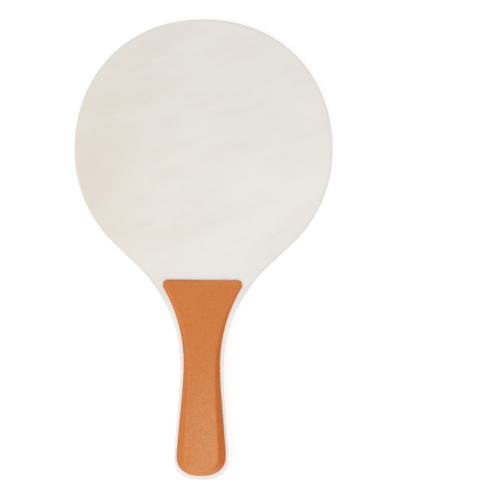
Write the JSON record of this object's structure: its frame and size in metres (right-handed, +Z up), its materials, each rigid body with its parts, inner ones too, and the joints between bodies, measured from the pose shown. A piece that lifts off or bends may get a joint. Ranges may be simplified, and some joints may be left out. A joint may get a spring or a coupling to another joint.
{
  "type": "beach tennis racket",
  "caption": "Wooden beach tennis racket with a rounded plywood blade and a moulded orange grip shell on each face of its flared handle.",
  "frame": {"origin": "on the table under the middle of the racket's bounding box, as it lies front face up on its back grip and the crown of its head", "axes": "+Y from the butt of the handle to the crown of the head, +Z up out of the front face, +X to the right seen from above; the blade itself leans 1.334 degrees down towards the crown"},
  "size_m": [0.2074, 0.37, 0.0218],
  "materials": {
    "face_veneer": "fine sanded pale veneer, matt clear coat",
    "inner_ply": "sanded edge of pale plywood",
    "grip": "orange, fine leather grain, semi-matt"
  },
  "bodies": {
    "root": {"front_face_veneer": "face_veneer", "front_crossband": "inner_ply", "core_ply": "inner_ply", "back_crossband": "inner_ply", "back_face_veneer": "face_veneer", "front_grip": "grip", "back_grip": "grip"}
  },
  "joints": []
}
